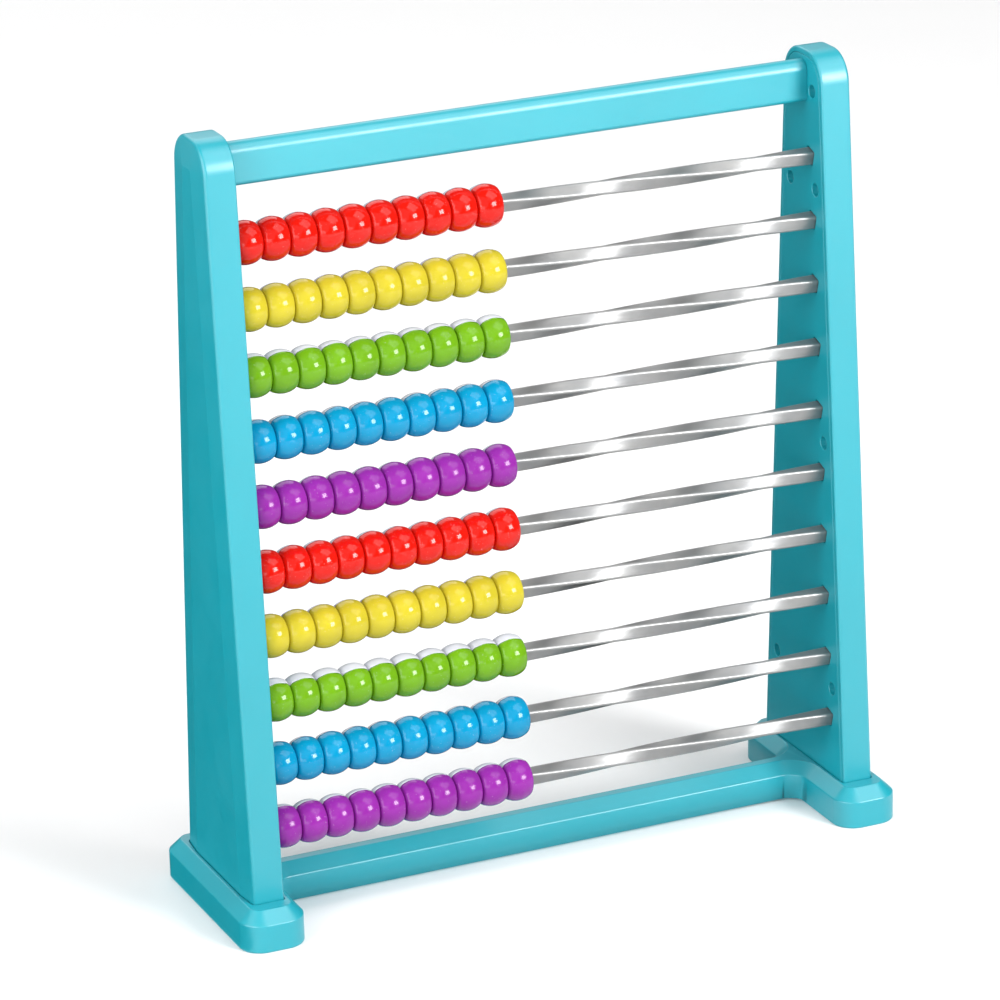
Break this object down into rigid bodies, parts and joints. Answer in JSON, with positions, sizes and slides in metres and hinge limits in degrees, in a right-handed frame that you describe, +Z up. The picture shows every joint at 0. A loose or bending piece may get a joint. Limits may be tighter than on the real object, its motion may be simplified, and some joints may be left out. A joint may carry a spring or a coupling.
{
  "type": "abacus",
  "caption": "Free-standing counting frame: tapered uprights, top rail and footed base hold twisted square rods that turn each half-coloured bead as it slides across.",
  "frame": {"origin": "middle of the footprint, on the surface the feet stand on", "axes": "+X along the rods, from the left upright to the right one seen from the front; -Y towards the front, where the beads show colour; +Z up"},
  "size_m": [0.2924, 0.094, 0.3233],
  "materials": {
    "frame_plastic": "satin gloss, injection moulded",
    "rod_metal": "satin, twisted square bar",
    "screw_steel": "zinc plated",
    "bead_white": "gloss",
    "bead_red": "gloss",
    "bead_yellow": "gloss",
    "bead_green": "gloss",
    "bead_blue": "gloss",
    "bead_purple": "gloss"
  },
  "bodies": {
    "frame": {"base": "frame_plastic", "top_rail": "frame_plastic", "left_upright_outer": "frame_plastic", "left_upright_inner": "frame_plastic", "left_upright_screws": "screw_steel", "right_upright_outer": "frame_plastic", "right_upright_inner": "frame_plastic", "right_upright_screws": "screw_steel", "base_screws": "screw_steel", "rod_01": "rod_metal", "rod_02": "rod_metal", "rod_03": "rod_metal", "rod_04": "rod_metal", "rod_05": "rod_metal", "rod_06": "rod_metal", "rod_07": "rod_metal", "rod_08": "rod_metal", "rod_09": "rod_metal", "rod_10": "rod_metal"},
    "row01_left_beads": {"row01_left_cores": "bead_white"},
    "row01_left_fronts": {"row01_left_caps": "bead_red"},
    "row01_right_beads": {"row01_right_cores": "bead_white"},
    "row01_right_fronts": {"row01_right_caps": "bead_red"},
    "row02_left_beads": {"row02_left_cores": "bead_white"},
    "row02_left_fronts": {"row02_left_caps": "bead_yellow"},
    "row02_right_beads": {"row02_right_cores": "bead_white"},
    "row02_right_fronts": {"row02_right_caps": "bead_yellow"},
    "row03_left_beads": {"row03_left_cores": "bead_white"},
    "row03_left_fronts": {"row03_left_caps": "bead_green"},
    "row03_right_beads": {"row03_right_cores": "bead_white"},
    "row03_right_fronts": {"row03_right_caps": "bead_green"},
    "row04_left_beads": {"row04_left_cores": "bead_white"},
    "row04_left_fronts": {"row04_left_caps": "bead_blue"},
    "row04_right_beads": {"row04_right_cores": "bead_white"},
    "row04_right_fronts": {"row04_right_caps": "bead_blue"},
    "row05_left_beads": {"row05_left_cores": "bead_white"},
    "row05_left_fronts": {"row05_left_caps": "bead_purple"},
    "row05_right_beads": {"row05_right_cores": "bead_white"},
    "row05_right_fronts": {"row05_right_caps": "bead_purple"},
    "row06_left_beads": {"row06_left_cores": "bead_white"},
    "row06_left_fronts": {"row06_left_caps": "bead_red"},
    "row06_right_beads": {"row06_right_cores": "bead_white"},
    "row06_right_fronts": {"row06_right_caps": "bead_red"},
    "row07_left_beads": {"row07_left_cores": "bead_white"},
    "row07_left_fronts": {"row07_left_caps": "bead_yellow"},
    "row07_right_beads": {"row07_right_cores": "bead_white"},
    "row07_right_fronts": {"row07_right_caps": "bead_yellow"},
    "row08_left_beads": {"row08_left_cores": "bead_white"},
    "row08_left_fronts": {"row08_left_caps": "bead_green"},
    "row08_right_beads": {"row08_right_cores": "bead_white"},
    "row08_right_fronts": {"row08_right_caps": "bead_green"},
    "row09_left_beads": {"row09_left_cores": "bead_white"},
    "row09_left_fronts": {"row09_left_caps": "bead_blue"},
    "row09_right_beads": {"row09_right_cores": "bead_white"},
    "row09_right_fronts": {"row09_right_caps": "bead_blue"},
    "row10_left_beads": {"row10_left_cores": "bead_white"},
    "row10_left_fronts": {"row10_left_caps": "bead_purple"},
    "row10_right_beads": {"row10_right_cores": "bead_white"},
    "row10_right_fronts": {"row10_right_caps": "bead_purple"}
  },
  "joints": [
    {"name": "row01_left_slide", "type": "slide", "parent": "frame", "child": "row01_left_beads", "axis": [1, 0, 0], "range_m": [0, 0.13746]},
    {"name": "row01_left_turn", "type": "hinge", "parent": "row01_left_beads", "child": "row01_left_fronts", "pos_m": [-0.09688, -0.00629, 0.28009], "axis": [1, 0, 0], "range_deg": [0, 180]},
    {"name": "row01_right_slide", "type": "slide", "parent": "row01_left_fronts", "child": "row01_right_beads", "axis": [-1, 0, 0], "range_m": [-0.13746, 0]},
    {"name": "row01_right_turn", "type": "hinge", "parent": "row01_right_beads", "child": "row01_right_fronts", "pos_m": [-0.04058, -0.00629, 0.28009], "axis": [1, 0, 0], "range_deg": [0, 180]},
    {"name": "row02_left_slide", "type": "slide", "parent": "frame", "child": "row02_left_beads", "axis": [1, 0, 0], "range_m": [0, 0.13746]},
    {"name": "row02_left_turn", "type": "hinge", "parent": "row02_left_beads", "child": "row02_left_fronts", "pos_m": [-0.09688, -0.00803, 0.25358], "axis": [1, 0, 0], "range_deg": [0, 180]},
    {"name": "row02_right_slide", "type": "slide", "parent": "row02_left_fronts", "child": "row02_right_beads", "axis": [-1, 0, 0], "range_m": [-0.13746, 0]},
    {"name": "row02_right_turn", "type": "hinge", "parent": "row02_right_beads", "child": "row02_right_fronts", "pos_m": [-0.04058, -0.00803, 0.25358], "axis": [1, 0, 0], "range_deg": [0, 180]},
    {"name": "row03_left_slide", "type": "slide", "parent": "frame", "child": "row03_left_beads", "axis": [1, 0, 0], "range_m": [0, 0.13746]},
    {"name": "row03_left_turn", "type": "hinge", "parent": "row03_left_beads", "child": "row03_left_fronts", "pos_m": [-0.09688, -0.00977, 0.22707], "axis": [1, 0, 0], "range_deg": [0, 180]},
    {"name": "row03_right_slide", "type": "slide", "parent": "row03_left_fronts", "child": "row03_right_beads", "axis": [-1, 0, 0], "range_m": [-0.13746, 0]},
    {"name": "row03_right_turn", "type": "hinge", "parent": "row03_right_beads", "child": "row03_right_fronts", "pos_m": [-0.04058, -0.00977, 0.22707], "axis": [1, 0, 0], "range_deg": [0, 180]},
    {"name": "row04_left_slide", "type": "slide", "parent": "frame", "child": "row04_left_beads", "axis": [1, 0, 0], "range_m": [0, 0.13746]},
    {"name": "row04_left_turn", "type": "hinge", "parent": "row04_left_beads", "child": "row04_left_fronts", "pos_m": [-0.09688, -0.01151, 0.20056], "axis": [1, 0, 0], "range_deg": [0, 180]},
    {"name": "row04_right_slide", "type": "slide", "parent": "row04_left_fronts", "child": "row04_right_beads", "axis": [-1, 0, 0], "range_m": [-0.13746, 0]},
    {"name": "row04_right_turn", "type": "hinge", "parent": "row04_right_beads", "child": "row04_right_fronts", "pos_m": [-0.04058, -0.01151, 0.20056], "axis": [1, 0, 0], "range_deg": [0, 180]},
    {"name": "row05_left_slide", "type": "slide", "parent": "frame", "child": "row05_left_beads", "axis": [1, 0, 0], "range_m": [0, 0.13746]},
    {"name": "row05_left_turn", "type": "hinge", "parent": "row05_left_beads", "child": "row05_left_fronts", "pos_m": [-0.09688, -0.01325, 0.17405], "axis": [1, 0, 0], "range_deg": [0, 180]},
    {"name": "row05_right_slide", "type": "slide", "parent": "row05_left_fronts", "child": "row05_right_beads", "axis": [-1, 0, 0], "range_m": [-0.13746, 0]},
    {"name": "row05_right_turn", "type": "hinge", "parent": "row05_right_beads", "child": "row05_right_fronts", "pos_m": [-0.04058, -0.01325, 0.17405], "axis": [1, 0, 0], "range_deg": [0, 180]},
    {"name": "row06_left_slide", "type": "slide", "parent": "frame", "child": "row06_left_beads", "axis": [1, 0, 0], "range_m": [0, 0.13746]},
    {"name": "row06_left_turn", "type": "hinge", "parent": "row06_left_beads", "child": "row06_left_fronts", "pos_m": [-0.09688, -0.01499, 0.14754], "axis": [1, 0, 0], "range_deg": [0, 180]},
    {"name": "row06_right_slide", "type": "slide", "parent": "row06_left_fronts", "child": "row06_right_beads", "axis": [-1, 0, 0], "range_m": [-0.13746, 0]},
    {"name": "row06_right_turn", "type": "hinge", "parent": "row06_right_beads", "child": "row06_right_fronts", "pos_m": [-0.04058, -0.01499, 0.14754], "axis": [1, 0, 0], "range_deg": [0, 180]},
    {"name": "row07_left_slide", "type": "slide", "parent": "frame", "child": "row07_left_beads", "axis": [1, 0, 0], "range_m": [0, 0.13746]},
    {"name": "row07_left_turn", "type": "hinge", "parent": "row07_left_beads", "child": "row07_left_fronts", "pos_m": [-0.09688, -0.01673, 0.12103], "axis": [1, 0, 0], "range_deg": [0, 180]},
    {"name": "row07_right_slide", "type": "slide", "parent": "row07_left_fronts", "child": "row07_right_beads", "axis": [-1, 0, 0], "range_m": [-0.13746, 0]},
    {"name": "row07_right_turn", "type": "hinge", "parent": "row07_right_beads", "child": "row07_right_fronts", "pos_m": [-0.04058, -0.01673, 0.12103], "axis": [1, 0, 0], "range_deg": [0, 180]},
    {"name": "row08_left_slide", "type": "slide", "parent": "frame", "child": "row08_left_beads", "axis": [1, 0, 0], "range_m": [0, 0.13746]},
    {"name": "row08_left_turn", "type": "hinge", "parent": "row08_left_beads", "child": "row08_left_fronts", "pos_m": [-0.09688, -0.01848, 0.09452], "axis": [1, 0, 0], "range_deg": [0, 180]},
    {"name": "row08_right_slide", "type": "slide", "parent": "row08_left_fronts", "child": "row08_right_beads", "axis": [-1, 0, 0], "range_m": [-0.13746, 0]},
    {"name": "row08_right_turn", "type": "hinge", "parent": "row08_right_beads", "child": "row08_right_fronts", "pos_m": [-0.04058, -0.01848, 0.09452], "axis": [1, 0, 0], "range_deg": [0, 180]},
    {"name": "row09_left_slide", "type": "slide", "parent": "frame", "child": "row09_left_beads", "axis": [1, 0, 0], "range_m": [0, 0.13746]},
    {"name": "row09_left_turn", "type": "hinge", "parent": "row09_left_beads", "child": "row09_left_fronts", "pos_m": [-0.09688, -0.02022, 0.06801], "axis": [1, 0, 0], "range_deg": [0, 180]},
    {"name": "row09_right_slide", "type": "slide", "parent": "row09_left_fronts", "child": "row09_right_beads", "axis": [-1, 0, 0], "range_m": [-0.13746, 0]},
    {"name": "row09_right_turn", "type": "hinge", "parent": "row09_right_beads", "child": "row09_right_fronts", "pos_m": [-0.04058, -0.02022, 0.06801], "axis": [1, 0, 0], "range_deg": [0, 180]},
    {"name": "row10_left_slide", "type": "slide", "parent": "frame", "child": "row10_left_beads", "axis": [1, 0, 0], "range_m": [0, 0.13746]},
    {"name": "row10_left_turn", "type": "hinge", "parent": "row10_left_beads", "child": "row10_left_fronts", "pos_m": [-0.09688, -0.02196, 0.0415], "axis": [1, 0, 0], "range_deg": [0, 180]},
    {"name": "row10_right_slide", "type": "slide", "parent": "row10_left_fronts", "child": "row10_right_beads", "axis": [-1, 0, 0], "range_m": [-0.13746, 0]},
    {"name": "row10_right_turn", "type": "hinge", "parent": "row10_right_beads", "child": "row10_right_fronts", "pos_m": [-0.04058, -0.02196, 0.0415], "axis": [1, 0, 0], "range_deg": [0, 180]}
  ],
  "couplings": [
    {"joint": "row01_left_turn", "follows": "row01_left_slide", "rad_per_m": 22.854},
    {"joint": "row01_right_turn", "follows": "row01_right_slide", "rad_per_m": -22.854},
    {"joint": "row02_left_turn", "follows": "row02_left_slide", "rad_per_m": 22.854},
    {"joint": "row02_right_turn", "follows": "row02_right_slide", "rad_per_m": -22.854},
    {"joint": "row03_left_turn", "follows": "row03_left_slide", "rad_per_m": 22.854},
    {"joint": "row03_right_turn", "follows": "row03_right_slide", "rad_per_m": -22.854},
    {"joint": "row04_left_turn", "follows": "row04_left_slide", "rad_per_m": 22.854},
    {"joint": "row04_right_turn", "follows": "row04_right_slide", "rad_per_m": -22.854},
    {"joint": "row05_left_turn", "follows": "row05_left_slide", "rad_per_m": 22.854},
    {"joint": "row05_right_turn", "follows": "row05_right_slide", "rad_per_m": -22.854},
    {"joint": "row06_left_turn", "follows": "row06_left_slide", "rad_per_m": 22.854},
    {"joint": "row06_right_turn", "follows": "row06_right_slide", "rad_per_m": -22.854},
    {"joint": "row07_left_turn", "follows": "row07_left_slide", "rad_per_m": 22.854},
    {"joint": "row07_right_turn", "follows": "row07_right_slide", "rad_per_m": -22.854},
    {"joint": "row08_left_turn", "follows": "row08_left_slide", "rad_per_m": 22.854},
    {"joint": "row08_right_turn", "follows": "row08_right_slide", "rad_per_m": -22.854},
    {"joint": "row09_left_turn", "follows": "row09_left_slide", "rad_per_m": 22.854},
    {"joint": "row09_right_turn", "follows": "row09_right_slide", "rad_per_m": -22.854},
    {"joint": "row10_left_turn", "follows": "row10_left_slide", "rad_per_m": 22.854},
    {"joint": "row10_right_turn", "follows": "row10_right_slide", "rad_per_m": -22.854}
  ]
}
